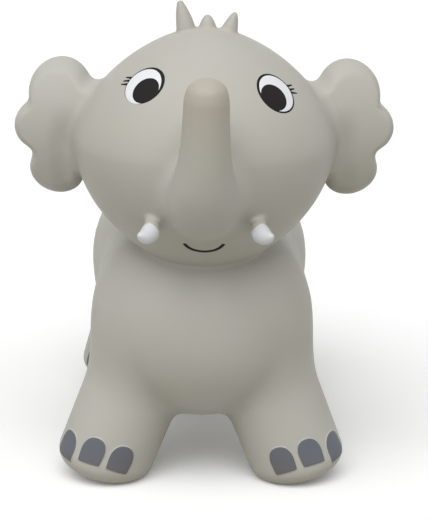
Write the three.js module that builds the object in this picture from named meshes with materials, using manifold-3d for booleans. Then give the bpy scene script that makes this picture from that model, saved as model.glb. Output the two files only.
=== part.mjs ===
// Elephant hopper: an air-filled toy that a small child sits on and bounces on.
// The real skin is one rotocast PVC moulding. Here it is built zone by zone (torso, head, trunk, ears
// and legs) as thin shells that open into each other, so that the air chamber runs through the whole toy.
// The painted marks are thin pads on the skin, and the air valve is a bush with a push-in plug.
// Millimetres, +Z up. The face looks along -Y. Left (+X) and right (-X) are the rider's.
// The origin is on the floor, under the middle of the toy's bounding box.

import * as THREE from "three";
import { mergeVertices } from "three/addons/utils/BufferGeometryUtils.js";
import Module from "manifold-3d";

const wasm = await Module();
wasm.setup();

// Skin
const WALL = 2.2;
const SEAM_GAP = 0.3; // clearance between pieces that touch

// Torso: a barrel along Y from a chest ball over a slimmer waist to a rump ball
const TORSO_AXIS_HEIGHT = 170;
const TORSO_WIDTH_RATIO = 1.05; // width over height of its cross-section
const CHEST_RADIUS = 108;
const WAIST_RADIUS = 104;
const RUMP_RADIUS = 115;
const CHEST_TO_WAIST = 112;
const WAIST_TO_RUMP = 97;

// Head: a rounded form with a domed crown and a fuller jaw
const HEAD_HALF_WIDTH = 130.5;
const HEAD_HALF_DEPTH = 118;
const CROWN_HEIGHT = 113.5;
const JAW_DEPTH = 130;
const CROWN_POWER = 1.65; // below 2 the crown is more pointed than an ellipsoid
const JAW_POWER = 1.8;
const HEAD_FORWARD = 40; // head centre ahead of the chest centre
const HEAD_ABOVE = 193.5; // head centre above the torso's axis

// Trunk: raised in front of the face, with a round bend at its foot
const TRUNK_BELOW = 33.5; // axis of its root below the head centre
const TRUNK_ROOT_DEPTH = 33; // how far its root starts inside the face
const TRUNK_ROOT_RADIUS = 37.5;
const TRUNK_BEND_RADIUS = 37;
const TRUNK_KNEE_RADIUS = 31.5;
const TRUNK_MIDDLE_RADIUS = 25.5;
const TRUNK_TIP_RADIUS = 20.5;
const TRUNK_BEND_OUT = -6; // centre of each section ahead of the face at the root's height, or behind it
const TRUNK_KNEE_OUT = 23;
const TRUNK_MIDDLE_OUT = 39.2;
const TRUNK_TIP_OUT = 44.7;
const TRUNK_KNEE_RISE = 17; // height of each section above the root's axis
const TRUNK_MIDDLE_RISE = 57;
const TRUNK_TIP_RISE = 110;

// Ears: inflated pads with three lobes, on a round root that can flex
const EAR_HALF_THICKNESS = 20;
const EAR_EDGE_ROUND = 17;
const EAR_SWEEP = 12; // degrees that the pad leans back
const EAR_BEHIND = 20; // hinge line behind the head centre
const EAR_ABOVE = 10.5; // ear middle above the head centre
const EAR_HINGE_PROUD = 7; // hinge line outside the head's side
const EAR_FLEX_ROOM = 7.5; // free room between the pad and the head, for flexing
const EAR_ROOT_UP = 36; // root's length above and below the ear middle
const EAR_ROOT_DOWN = 45;
const EAR_ROOT_IN = 30; // the pad's outline reaches this far towards the head before it is trimmed
const EAR_NOTCH_ROUND = 7;
const EAR_LOBE_RADIUS = 27;
const EAR_TOP_LOBE_OUT = 12; // lobe centres from the hinge line and the ear middle
const EAR_TOP_LOBE_UP = 42;
const EAR_MIDDLE_LOBE_OUT = 30;
const EAR_MIDDLE_LOBE_UP = 0;
const EAR_LOW_LOBE_OUT = 14.5;
const EAR_LOW_LOBE_UP = -44.5;
const EAR_TOP_START = 160; // degrees where the outline joins the first lobe
const EAR_LOW_END = -150; // degrees where it leaves the last
const EAR_AIRWAY_HALF_WIDTH = 9; // slot in the root that opens into the head

// Legs: splayed tapering limbs with a rounded sole, flattened where they stand
const FOOT_RADIUS = 47;
const THIGH_RADIUS = 52;
const SOLE_ROUND = 22;
const SOLE_FLAT = 4; // how far the sole's low side is pressed flat by the floor
const SOLE_TILT = 15.5; // degrees that the sole's outer side is raised
const HIP_BELOW_AXIS = 20;
const FRONT_HIP_SIDE = 48;
const FRONT_HIP_FORWARD = 10; // ahead of the chest centre
const FRONT_SPLAY = 22; // degrees outwards
const FRONT_LEAN = 9; // degrees forwards
const REAR_HIP_SIDE = 50;
const REAR_HIP_BACK = 10; // behind the rump centre
const REAR_SPLAY = 17;
const REAR_LEAN = 10; // degrees backwards

// Toenails: three raised painted nails on the front of each foot
const NAIL_WIDTH = 25;
const NAIL_HEIGHT = 29;
const NAIL_STRAIGHT = 9; // height of the straight sides under the arch
const NAIL_ABOVE_SOLE = 20;
const NAIL_TURN = 23.5; // degrees outwards from straight ahead to the middle nail
const NAIL_GAP = 7; // between neighbours
const NAIL_THICKNESS = 0.9;

// Painted eyes and mouth
const PAINT_THICKNESS = 0.6;
const LEFT_EYE_SIDE = 68; // eye centres from the middle plane and above the head centre, not quite level
const LEFT_EYE_ABOVE = 63;
const RIGHT_EYE_SIDE = 61;
const RIGHT_EYE_ABOVE = 69;
const EYE_RADIUS = 21.3;
const EYE_RIM = 1.6;
const PUPIL_RADIUS = 14.5;
const PUPIL_IN = 6.4; // pupil centre from the eye centre, towards the trunk and down
const PUPIL_DOWN = 5.3;
const LASH_LENGTH = 6;
const LASH_WIDTH = 1.8;
const LASH_FIRST = -8; // degrees up from the eye's outer corner
const LASH_SPACING = 12; // degrees
const MOUTH_BELOW = 93; // lowest point below the head centre, measured down the face's front
const MOUTH_RADIUS = 20.6;
const MOUTH_HALF_SPAN = 70; // degrees
const MOUTH_STROKE = 2.4;

// Tusks: short curled pegs beside the trunk
const TUSK_SIDE = 50.5;
const TUSK_BELOW = 60;
const TUSK_ROOT_RADIUS = 9;
const TUSK_MIDDLE_RADIUS = 7.5;
const TUSK_TIP_RADIUS = 3.6;
const TUSK_REACH = 28; // out of the face
const TUSK_DROP = 8; // down to its lowest point
const TUSK_CURL = 11; // outwards at the tip

// Hair: three soft spikes on the crown, joined by a low web
const HAIR_ROOT_RADIUS = 14;
const HAIR_TIP_RADIUS = 4;
const HAIR_SPACING = 22;
const HAIR_LEAN = 6;
const HAIR_SINK = 8; // root below the skin
const HAIR_RIGHT_HEIGHT = 26; // tips above the crown
const HAIR_MIDDLE_HEIGHT = 12.5;
const HAIR_LEFT_HEIGHT = 15;
const HAIR_WEB_RADIUS = 9;
const HAIR_WEB_PROUD = 2.4; // above the skin

// Tail: a cord with a tuft, moulded onto the rump
const TAIL_RADIUS = 8;
const TAIL_TUFT_RADIUS = 12;
const TAIL_PROUD = 4; // centre line outside the rump
const TAIL_TOP_ANGLE = 28; // degrees above the torso's axis
const TAIL_LOW_ANGLE = -24;

// Air valve: a flanged bush in the belly and its push-in plug
const VALVE_BORE = 4.5;
const VALVE_NECK_RADIUS = 8;
const VALVE_NECK_LENGTH = 12;
const VALVE_BARREL_RADIUS = 13;
const VALVE_INNER_FLANGE = 19;
const VALVE_OUTER_FLANGE = 17;
const VALVE_FLANGE_THICKNESS = 3.4;
const PLUG_HEAD_RADIUS = 10;
const PLUG_HEAD_THICKNESS = 3.2;
const PLUG_TIP_TAPER = 1.2;

// Mesh resolution
const TORSO_SIDES = 24;
const TORSO_CAP_STEPS = 5;
const TORSO_BODY_STEPS = 2;
const HEAD_SIDES = 24;
const HEAD_STEPS = 6; // rings above and below the head's middle
const LEG_SIDES = 16;
const LIMB_CAP_STEPS = 3;
const VALVE_SIDES = 16;

const CUT_REACH = 1000; // size of the blocks that trim away whole regions

const grey = new THREE.MeshStandardMaterial({ color: 0xbab7ae, roughness: 0.55, metalness: 0 });
const slate = new THREE.MeshStandardMaterial({ color: 0x676b72, roughness: 0.5, metalness: 0 });
const black = new THREE.MeshStandardMaterial({ color: 0x2a2626, roughness: 0.45, metalness: 0 });
const white = new THREE.MeshStandardMaterial({ color: 0xeff0f0, roughness: 0.5, metalness: 0 });
const ivory = new THREE.MeshStandardMaterial({ color: 0xe9e7e0, roughness: 0.5, metalness: 0 });
const valveWhite = new THREE.MeshStandardMaterial({ color: 0xdadad4, roughness: 0.4, metalness: 0 });

const UP = new THREE.Vector3(0, 0, 1);
const SIDEWAYS = new THREE.Vector3(1, 0, 0);
const radians = THREE.MathUtils.degToRad;

// A closed geometry as a solid that can be joined and cut
function solidOf(geometry, matrix = new THREE.Matrix4()) {
  const bare = geometry.clone().applyMatrix4(matrix);
  bare.deleteAttribute("normal");
  bare.deleteAttribute("uv");
  const merged = mergeVertices(bare, 1e-4);
  const vertProperties = new Float32Array(merged.attributes.position.array);
  const triVerts = new Uint32Array(merged.index.array);
  return new wasm.Manifold(new wasm.Mesh({ numProp: 3, vertProperties, triVerts }));
}

function geometryOf(solid) {
  const mesh = solid.getMesh();
  const geometry = new THREE.BufferGeometry();
  geometry.setAttribute("position", new THREE.BufferAttribute(mesh.vertProperties, 3));
  geometry.setIndex(new THREE.BufferAttribute(mesh.triVerts, 1));
  geometry.computeVertexNormals();
  return geometry;
}

// A closed skin over rings of points, from a first pole to a last one
function skinRings(rings, firstPole, lastPole) {
  const sides = rings[0].length;
  const points = [firstPole, ...rings.flat(), lastPole];
  const at = (ring, side) => 1 + ring * sides + (side % sides);
  const last = rings.length - 1;
  const triangles = [];
  for (let side = 0; side < sides; side += 1) {
    triangles.push(0, at(0, side + 1), at(0, side));
    for (let ring = 0; ring < last; ring += 1) {
      triangles.push(at(ring, side), at(ring, side + 1), at(ring + 1, side));
      triangles.push(at(ring, side + 1), at(ring + 1, side + 1), at(ring + 1, side));
    }
    triangles.push(points.length - 1, at(last, side), at(last, side + 1));
  }
  const geometry = new THREE.BufferGeometry().setFromPoints(points);
  geometry.setIndex(triangles);
  return geometry;
}

// A round limb with round ends along a curve; each stop is a point with the radius there.
// Its sides are counted from the level direction, which the curve never follows.
function limb(stops, { grow = 0, sides = 12, steps = 8, level = SIDEWAYS } = {}) {
  const spine = new THREE.CatmullRomCurve3(stops.map((stop) => stop.at));
  const girth = new THREE.SplineCurve(stops.map((stop, i) => new THREE.Vector2(i, stop.radius)));
  const ring = (centre, along, radius) => {
    const across = new THREE.Vector3().crossVectors(along, level).normalize();
    const over = new THREE.Vector3().crossVectors(across, along);
    return Array.from({ length: sides }, (_, side) => {
      const angle = (2 * Math.PI * side) / sides;
      return centre.clone()
        .addScaledVector(over, radius * Math.cos(angle))
        .addScaledVector(across, radius * Math.sin(angle));
    });
  };
  const rings = [];
  const poles = [];
  const cap = (t, direction) => {
    const along = spine.getTangent(t);
    const radius = girth.getPoint(t).y + grow;
    const capRings = [];
    for (let step = 1; step < LIMB_CAP_STEPS; step += 1) {
      const angle = (0.5 * Math.PI * step) / LIMB_CAP_STEPS;
      const centre = spine.getPoint(t).addScaledVector(along, direction * radius * Math.sin(angle));
      capRings.push(ring(centre, along, radius * Math.cos(angle)));
    }
    poles.push(spine.getPoint(t).addScaledVector(along, direction * radius));
    return direction < 0 ? capRings.reverse() : capRings;
  };
  rings.push(...cap(0, -1));
  for (let step = 0; step <= steps; step += 1) {
    const t = step / steps;
    rings.push(ring(spine.getPoint(t), spine.getTangent(t), girth.getPoint(t).y + grow));
  }
  rings.push(...cap(1, 1));
  return skinRings(rings, poles[0], poles[1]);
}

// Everything below a level, as a block
function blockBelow(level) {
  const block = new THREE.BoxGeometry(CUT_REACH, CUT_REACH, CUT_REACH);
  return solidOf(block.translate(0, 0, level - CUT_REACH / 2));
}

// An outline stood on a surface: z of the matrix points out of it, and the prism reaches both ways
function prism(shape, matrix, depth) {
  const geometry = new THREE.ExtrudeGeometry(shape, { depth, bevelEnabled: false, curveSegments: 4 });
  return solidOf(geometry.translate(0, 0, -depth / 2), matrix);
}

function disc(radius, x = 0, y = 0) {
  return new THREE.Shape().absarc(x, y, radius, 0, 2 * Math.PI);
}

// Torso

const chest = new THREE.Vector3(0, 0, TORSO_AXIS_HEIGHT);
const waist = chest.clone().setY(CHEST_TO_WAIST);
const rump = chest.clone().setY(CHEST_TO_WAIST + WAIST_TO_RUMP);

// Height of the torso's side line at a distance behind the chest centre, between the two balls
function torsoRadius(y) {
  const ease = (from, to, share) => from + ((to - from) * (1 - Math.cos(Math.PI * share))) / 2;
  if (y < waist.y) {
    return ease(CHEST_RADIUS, WAIST_RADIUS, y / CHEST_TO_WAIST);
  }
  return ease(WAIST_RADIUS, RUMP_RADIUS, (y - waist.y) / WAIST_TO_RUMP);
}

function torsoSolid(grow) {
  const profile = [];
  for (let step = 0; step < TORSO_CAP_STEPS; step += 1) {
    const angle = (0.5 * Math.PI * step) / TORSO_CAP_STEPS;
    const radius = CHEST_RADIUS + grow;
    profile.push(new THREE.Vector2(radius * Math.sin(angle), -radius * Math.cos(angle)));
  }
  for (let step = 0; step <= 2 * TORSO_BODY_STEPS; step += 1) {
    const length = step < TORSO_BODY_STEPS ? CHEST_TO_WAIST : WAIST_TO_RUMP;
    const y = waist.y + ((step - TORSO_BODY_STEPS) / TORSO_BODY_STEPS) * length;
    profile.push(new THREE.Vector2(torsoRadius(y) + grow, y));
  }
  for (let step = TORSO_CAP_STEPS - 1; step >= 0; step -= 1) {
    const angle = (0.5 * Math.PI * step) / TORSO_CAP_STEPS;
    const radius = RUMP_RADIUS + grow;
    profile.push(new THREE.Vector2(radius * Math.sin(angle), rump.y + radius * Math.cos(angle)));
  }
  const barrel = new THREE.LatheGeometry(profile, TORSO_SIDES).scale(TORSO_WIDTH_RATIO, 1, 1);
  return solidOf(barrel.translate(0, 0, TORSO_AXIS_HEIGHT));
}

// Head

const headCentre = chest.clone().add(new THREE.Vector3(0, -HEAD_FORWARD, HEAD_ABOVE));

function headSolid(grow) {
  const profile = [];
  for (let step = -HEAD_STEPS; step <= HEAD_STEPS; step += 1) {
    const angle = (0.5 * Math.PI * Math.abs(step)) / HEAD_STEPS;
    const power = step < 0 ? JAW_POWER : CROWN_POWER;
    const height = step < 0 ? -JAW_DEPTH - grow : CROWN_HEIGHT + grow;
    const radius = Math.abs(step) === HEAD_STEPS ? 0 : Math.cos(angle) ** (2 / power);
    profile.push(new THREE.Vector2(radius, height * Math.sin(angle) ** (2 / power)));
  }
  const dome = new THREE.LatheGeometry(profile, HEAD_SIDES).rotateX(Math.PI / 2);
  dome.scale(HEAD_HALF_WIDTH + grow, HEAD_HALF_DEPTH + grow, 1);
  return solidOf(dome.translate(...headCentre));
}

// Share of the head's full girth at a height above its centre
function headGirth(z) {
  const power = z < 0 ? JAW_POWER : CROWN_POWER;
  const height = z < 0 ? JAW_DEPTH : CROWN_HEIGHT;
  return (1 - (Math.abs(z) / height) ** power) ** (1 / power);
}

// Point on the face at a place beside and above the head centre
function facePoint(x, z) {
  const depth = HEAD_HALF_DEPTH * Math.sqrt(headGirth(z) ** 2 - (x / HEAD_HALF_WIDTH) ** 2);
  return new THREE.Vector3(x, -depth, z).add(headCentre);
}

function headNormal(point) {
  const from = point.clone().sub(headCentre);
  const power = from.z < 0 ? JAW_POWER : CROWN_POWER;
  const height = from.z < 0 ? JAW_DEPTH : CROWN_HEIGHT;
  const girth = Math.hypot(from.x / HEAD_HALF_WIDTH, from.y / HEAD_HALF_DEPTH) ** (power - 2);
  return new THREE.Vector3(
    (girth * from.x) / HEAD_HALF_WIDTH ** 2,
    (girth * from.y) / HEAD_HALF_DEPTH ** 2,
    (Math.sign(from.z) * Math.abs(from.z) ** (power - 1)) / height ** power,
  ).normalize();
}

// Frame on the face: x to the toy's left, y up the skin, z out of it
function faceFrame(x, z) {
  const point = facePoint(x, z);
  const out = headNormal(point);
  const across = new THREE.Vector3().crossVectors(UP, out).normalize();
  const upwards = new THREE.Vector3().crossVectors(out, across);
  return new THREE.Matrix4().makeBasis(across, upwards, out).setPosition(point);
}

// Trunk

const face = facePoint(0, -TRUNK_BELOW);

function trunkSolid(grow) {
  const stop = (out, rise, radius) => ({ at: face.clone().add(new THREE.Vector3(0, -out, rise)), radius });
  const stops = [
    stop(-TRUNK_ROOT_DEPTH, 0, TRUNK_ROOT_RADIUS),
    stop(TRUNK_BEND_OUT, 0, TRUNK_BEND_RADIUS),
    stop(TRUNK_KNEE_OUT, TRUNK_KNEE_RISE, TRUNK_KNEE_RADIUS),
    stop(TRUNK_MIDDLE_OUT, TRUNK_MIDDLE_RISE, TRUNK_MIDDLE_RADIUS),
    stop(TRUNK_TIP_OUT, TRUNK_TIP_RISE, TRUNK_TIP_RADIUS),
  ];
  return solidOf(limb(stops, { grow, sides: 16, steps: 10 }));
}

// Ears, made on the left side

const earSide = HEAD_HALF_WIDTH * Math.sqrt(headGirth(EAR_ABOVE) ** 2 - (EAR_BEHIND / HEAD_HALF_DEPTH) ** 2);
const earHinge = new THREE.Vector3(earSide + EAR_HINGE_PROUD, EAR_BEHIND, EAR_ABOVE).add(headCentre);

const EAR_LOBES = [
  new THREE.Vector2(EAR_TOP_LOBE_OUT, EAR_TOP_LOBE_UP),
  new THREE.Vector2(EAR_MIDDLE_LOBE_OUT, EAR_MIDDLE_LOBE_UP),
  new THREE.Vector2(EAR_LOW_LOBE_OUT, EAR_LOW_LOBE_UP),
];

// Centre of the small arc that rounds the notch between two lobes
function notchCentre(upper, lower) {
  const reach = EAR_LOBE_RADIUS + EAR_NOTCH_ROUND;
  const half = upper.distanceTo(lower) / 2;
  const along = lower.clone().sub(upper).normalize();
  const outwards = new THREE.Vector2(-along.y, along.x);
  const out = Math.sqrt(reach ** 2 - half ** 2);
  return upper.clone().addScaledVector(along, half).addScaledVector(outwards, out);
}

function earOutline() {
  const toward = (from, to) => Math.atan2(to.y - from.y, to.x - from.x);
  const notches = [notchCentre(EAR_LOBES[0], EAR_LOBES[1]), notchCentre(EAR_LOBES[1], EAR_LOBES[2])];
  const outline = new THREE.Shape();
  outline.moveTo(-EAR_ROOT_IN, EAR_LOW_LOBE_UP);
  outline.lineTo(-EAR_ROOT_IN, EAR_TOP_LOBE_UP);
  EAR_LOBES.forEach((lobe, i) => {
    const start = i === 0 ? radians(EAR_TOP_START) : toward(lobe, notches[i - 1]);
    const end = i === 2 ? radians(EAR_LOW_END) : toward(lobe, notches[i]);
    outline.absarc(lobe.x, lobe.y, EAR_LOBE_RADIUS, start, end, true);
    if (i < 2) {
      const notch = notches[i];
      const next = EAR_LOBES[i + 1];
      outline.absarc(notch.x, notch.y, EAR_NOTCH_ROUND, toward(notch, lobe), toward(notch, next), false);
    }
  });
  outline.closePath();
  return outline;
}

const earPlace = new THREE.Matrix4().makeRotationZ(radians(EAR_SWEEP)).setPosition(earHinge);

// The pad, standing upright with its outline outwards and its thickness along Y
function earPad(inset) {
  const depth = 2 * (EAR_HALF_THICKNESS - EAR_EDGE_ROUND);
  const pad = new THREE.ExtrudeGeometry(earOutline(), {
    depth,
    bevelThickness: EAR_EDGE_ROUND - inset,
    bevelSize: EAR_EDGE_ROUND,
    bevelOffset: -EAR_EDGE_ROUND - inset,
    bevelSegments: 2,
    curveSegments: 3,
  });
  return solidOf(pad.translate(0, 0, -depth / 2).rotateX(Math.PI / 2), earPlace);
}

function earRoot(radius, up, down) {
  const root = new THREE.CylinderGeometry(radius, radius, up + down, LEG_SIDES).rotateX(Math.PI / 2);
  return solidOf(root.translate(0, 0, (up - down) / 2), earPlace);
}

function earSolid() {
  const outer = earPad(0)
    .subtract(headSolid(EAR_FLEX_ROOM))
    .add(earRoot(EAR_HALF_THICKNESS, EAR_ROOT_UP, EAR_ROOT_DOWN));
  const up = EAR_ROOT_UP - WALL;
  const down = EAR_ROOT_DOWN - WALL;
  const airway = new THREE.BoxGeometry(2 * EAR_HALF_THICKNESS, 2 * EAR_AIRWAY_HALF_WIDTH, up + down);
  airway.translate(-EAR_HALF_THICKNESS, 0, (up - down) / 2);
  const inner = earPad(WALL)
    .subtract(headSolid(EAR_FLEX_ROOM + WALL))
    .add(earRoot(EAR_HALF_THICKNESS - WALL, up, down))
    .add(solidOf(airway, earPlace));
  return outer.subtract(inner);
}

// Window in the head's side that the ear's root turns in
function earWindow() {
  const radius = (EAR_HALF_THICKNESS + SEAM_GAP) / Math.cos(Math.PI / LEG_SIDES);
  return earRoot(radius, EAR_ROOT_UP + SEAM_GAP, EAR_ROOT_DOWN + SEAM_GAP);
}

// Legs, made on the left side

const frontHip = chest.clone().add(new THREE.Vector3(FRONT_HIP_SIDE, -FRONT_HIP_FORWARD, -HIP_BELOW_AXIS));
const rearHip = rump.clone().add(new THREE.Vector3(REAR_HIP_SIDE, REAR_HIP_BACK, -HIP_BELOW_AXIS));

// A leg's place: its sole is tilted, and its middle line then slants further, up to the hip
function legPlace(hip, splay, lean) {
  const line = new THREE.Vector3(-Math.tan(radians(splay)), Math.tan(radians(lean)), 1);
  const tilt = radians(SOLE_TILT);
  const lowSide = (FOOT_RADIUS - SOLE_ROUND) * Math.sin(tilt) + SOLE_ROUND * (1 - Math.cos(tilt));
  const rise = hip.z - lowSide + SOLE_FLAT;
  const sole = hip.clone().addScaledVector(line, -rise);
  const turn = new THREE.Matrix4().makeRotationY(-tilt);
  const slant = line.clone().applyMatrix4(turn.clone().invert());
  const height = rise * slant.z;
  const shear = new THREE.Matrix4().makeShear(0, 0, 0, 0, slant.x / slant.z, slant.y / slant.z);
  return { height, place: turn.multiply(shear).setPosition(sole) };
}

const LEGS = {
  front: legPlace(frontHip, FRONT_SPLAY, FRONT_LEAN),
  rear: legPlace(rearHip, REAR_SPLAY, -REAR_LEAN),
};

function legCone({ height, place }, grow) {
  const outline = new THREE.Path();
  outline.moveTo(0, -grow);
  outline.lineTo(FOOT_RADIUS - SOLE_ROUND, -grow);
  outline.absarc(FOOT_RADIUS - SOLE_ROUND, SOLE_ROUND, SOLE_ROUND + grow, -Math.PI / 2, 0, false);
  outline.lineTo(THIGH_RADIUS + grow, height);
  outline.lineTo(0, height);
  const cone = new THREE.LatheGeometry(outline.getPoints(2), LEG_SIDES).rotateX(Math.PI / 2);
  return solidOf(cone, place);
}

function legSolid(leg) {
  const outer = legCone(leg, 0).subtract(blockBelow(0));
  const inner = legCone(leg, -WALL).subtract(blockBelow(WALL));
  return outer.subtract(inner).subtract(torsoSolid(SEAM_GAP));
}

function nailOutline() {
  const half = NAIL_WIDTH / 2;
  const outline = new THREE.Shape();
  outline.moveTo(half, 0);
  outline.lineTo(half, NAIL_STRAIGHT);
  outline.absellipse(0, NAIL_STRAIGHT, half, NAIL_HEIGHT - NAIL_STRAIGHT, 0, Math.PI, false);
  outline.lineTo(-half, 0);
  return outline;
}

// A nail at an angle outwards from straight ahead, as a layer of the foot's side
function nailSolid(leg, angle) {
  const out = new THREE.Vector3(Math.sin(radians(angle)), -Math.cos(radians(angle)), 0);
  const across = new THREE.Vector3().crossVectors(UP, out);
  const stand = new THREE.Matrix4().makeBasis(across, UP, out);
  stand.setPosition(out.clone().multiplyScalar(FOOT_RADIUS).setZ(NAIL_ABOVE_SOLE));
  const layer = legCone(leg, SEAM_GAP + NAIL_THICKNESS).subtract(legCone(leg, SEAM_GAP));
  return layer.intersect(prism(nailOutline(), stand.premultiply(leg.place), FOOT_RADIUS));
}

// Painted face, made on the left side

function paintLayer() {
  return headSolid(SEAM_GAP + PAINT_THICKNESS).subtract(headSolid(SEAM_GAP));
}

function eyeSolids(side, above) {
  const place = faceFrame(side, above);
  const cut = (shape) => prism(shape, place, 2 * EYE_RADIUS);
  const layer = paintLayer();
  const ball = layer.intersect(cut(disc(EYE_RADIUS)));
  const rimInside = EYE_RADIUS + SEAM_GAP;
  const rim = layer.intersect(cut(disc(rimInside + EYE_RIM))).subtract(cut(disc(rimInside)));
  const pupil = ball.intersect(cut(disc(PUPIL_RADIUS, -PUPIL_IN, -PUPIL_DOWN)));
  const iris = ball.subtract(cut(disc(PUPIL_RADIUS + SEAM_GAP, -PUPIL_IN, -PUPIL_DOWN)));
  const lashes = [0, 1, 2].map((i) => {
    const angle = radians(LASH_FIRST + i * LASH_SPACING);
    const start = EYE_RADIUS + EYE_RIM + 2 * SEAM_GAP;
    const stroke = new THREE.BoxGeometry(LASH_LENGTH, LASH_WIDTH, EYE_RADIUS);
    stroke.translate(start + LASH_LENGTH / 2, 0, 0).rotateZ(angle);
    return layer.intersect(solidOf(stroke, place));
  });
  return { rim, iris, pupil, lashes };
}

function mouthSolid() {
  const low = -Math.PI / 2 - radians(MOUTH_HALF_SPAN);
  const high = -Math.PI / 2 + radians(MOUTH_HALF_SPAN);
  const smile = new THREE.Shape();
  smile.absarc(0, MOUTH_RADIUS, MOUTH_RADIUS + MOUTH_STROKE / 2, low, high, false);
  smile.absarc(0, MOUTH_RADIUS, MOUTH_RADIUS - MOUTH_STROKE / 2, high, low, true);
  const stroke = prism(smile, faceFrame(0, -MOUTH_BELOW), 2 * MOUTH_RADIUS);
  return paintLayer().intersect(stroke).subtract(trunkSolid(SEAM_GAP));
}

// Tusks, made on the left side

function tuskSolid() {
  const root = facePoint(TUSK_SIDE, -TUSK_BELOW);
  const stop = (curl, out, drop, radius) => {
    const at = root.clone().add(new THREE.Vector3(curl, -out, -drop));
    return { at, radius };
  };
  const stops = [
    stop(0, -TUSK_ROOT_RADIUS, 0, TUSK_ROOT_RADIUS),
    stop(TUSK_CURL / 8, TUSK_REACH / 4, TUSK_DROP / 2, TUSK_ROOT_RADIUS),
    stop(TUSK_CURL / 2, (3 * TUSK_REACH) / 4, TUSK_DROP, TUSK_MIDDLE_RADIUS),
    stop(TUSK_CURL, TUSK_REACH, TUSK_DROP / 2, TUSK_TIP_RADIUS),
  ];
  const horn = solidOf(limb(stops, { sides: 10, steps: 6 }));
  return horn.subtract(headSolid(SEAM_GAP)).subtract(trunkSolid(SEAM_GAP));
}

// Hair

// Point at a distance to the side on the crown's middle line, and at a height above the skin there
function crownPoint(side, above) {
  const share = 1 - (Math.abs(side) / HEAD_HALF_WIDTH) ** CROWN_POWER;
  const height = CROWN_HEIGHT * share ** (1 / CROWN_POWER);
  return headCentre.clone().add(new THREE.Vector3(side, 0, height + above));
}

function hairSolid() {
  const spike = (side, lean, height) => {
    const root = crownPoint(side, -HAIR_SINK);
    const tip = crownPoint(0, height - HAIR_TIP_RADIUS).setX(side + lean);
    const middle = root.clone().lerp(tip, 0.5);
    return solidOf(limb([
      { at: root, radius: HAIR_ROOT_RADIUS },
      { at: middle, radius: (HAIR_ROOT_RADIUS + HAIR_TIP_RADIUS) / 2 },
      { at: tip, radius: HAIR_TIP_RADIUS },
    ], { sides: 8, steps: 3 }));
  };
  const webStops = [-HAIR_SPACING, 0, HAIR_SPACING].map((side) => {
    return { at: crownPoint(side, HAIR_WEB_PROUD - HAIR_WEB_RADIUS), radius: HAIR_WEB_RADIUS };
  });
  return solidOf(limb(webStops, { sides: 8, steps: 4, level: UP }))
    .add(spike(-HAIR_SPACING, -HAIR_LEAN, HAIR_RIGHT_HEIGHT))
    .add(spike(0, 0, HAIR_MIDDLE_HEIGHT))
    .add(spike(HAIR_SPACING, HAIR_LEAN, HAIR_LEFT_HEIGHT))
    .subtract(headSolid(SEAM_GAP));
}

// Tail

function tailSolid() {
  const reach = RUMP_RADIUS + TAIL_PROUD;
  const stop = (share, radius) => {
    const angle = radians(THREE.MathUtils.lerp(TAIL_TOP_ANGLE, TAIL_LOW_ANGLE, share));
    const at = new THREE.Vector3(0, reach * Math.cos(angle), reach * Math.sin(angle)).add(rump);
    return { at, radius };
  };
  const cord = [0, 1 / 3, 2 / 3].map((share) => stop(share, TAIL_RADIUS));
  const stops = [...cord, stop(1, TAIL_TUFT_RADIUS)];
  return solidOf(limb(stops, { sides: 10, steps: 8 })).subtract(torsoSolid(SEAM_GAP));
}

// Air valve, about an upright axis whose zero is the belly's skin

const valvePlace = waist.clone().setZ(TORSO_AXIS_HEIGHT - WAIST_RADIUS);
const plugSeat = -SEAM_GAP - VALVE_FLANGE_THICKNESS + PLUG_HEAD_THICKNESS; // under the plug's head
const flangeSeat = WALL + SEAM_GAP + WAIST_RADIUS - Math.sqrt(WAIST_RADIUS ** 2 - VALVE_INNER_FLANGE ** 2);
const neckTop = flangeSeat + VALVE_FLANGE_THICKNESS + VALVE_NECK_LENGTH;

function turned(profile) {
  const points = profile.map(([radius, height]) => new THREE.Vector2(radius, height));
  return new THREE.LatheGeometry(points, VALVE_SIDES).rotateX(Math.PI / 2);
}

function valveBush() {
  const under = -SEAM_GAP - VALVE_FLANGE_THICKNESS;
  const counterbore = PLUG_HEAD_RADIUS + SEAM_GAP;
  const shoulder = plugSeat + SEAM_GAP;
  return turned([
    [counterbore, under],
    [VALVE_OUTER_FLANGE, under],
    [VALVE_OUTER_FLANGE, -SEAM_GAP],
    [VALVE_BARREL_RADIUS, -SEAM_GAP],
    [VALVE_BARREL_RADIUS, flangeSeat],
    [VALVE_INNER_FLANGE, flangeSeat],
    [VALVE_INNER_FLANGE, flangeSeat + VALVE_FLANGE_THICKNESS],
    [VALVE_NECK_RADIUS, flangeSeat + VALVE_FLANGE_THICKNESS],
    [VALVE_NECK_RADIUS, neckTop],
    [VALVE_BORE, neckTop],
    [VALVE_BORE, shoulder],
    [counterbore, shoulder],
    [counterbore, under],
  ]);
}

function valvePlug() {
  const stem = VALVE_BORE - SEAM_GAP;
  return turned([
    [0, plugSeat - PLUG_HEAD_THICKNESS],
    [PLUG_HEAD_RADIUS, plugSeat - PLUG_HEAD_THICKNESS],
    [PLUG_HEAD_RADIUS, plugSeat],
    [stem, plugSeat],
    [stem, neckTop - PLUG_TIP_TAPER],
    [stem - PLUG_TIP_TAPER, neckTop],
    [0, neckTop],
  ]);
}

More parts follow.
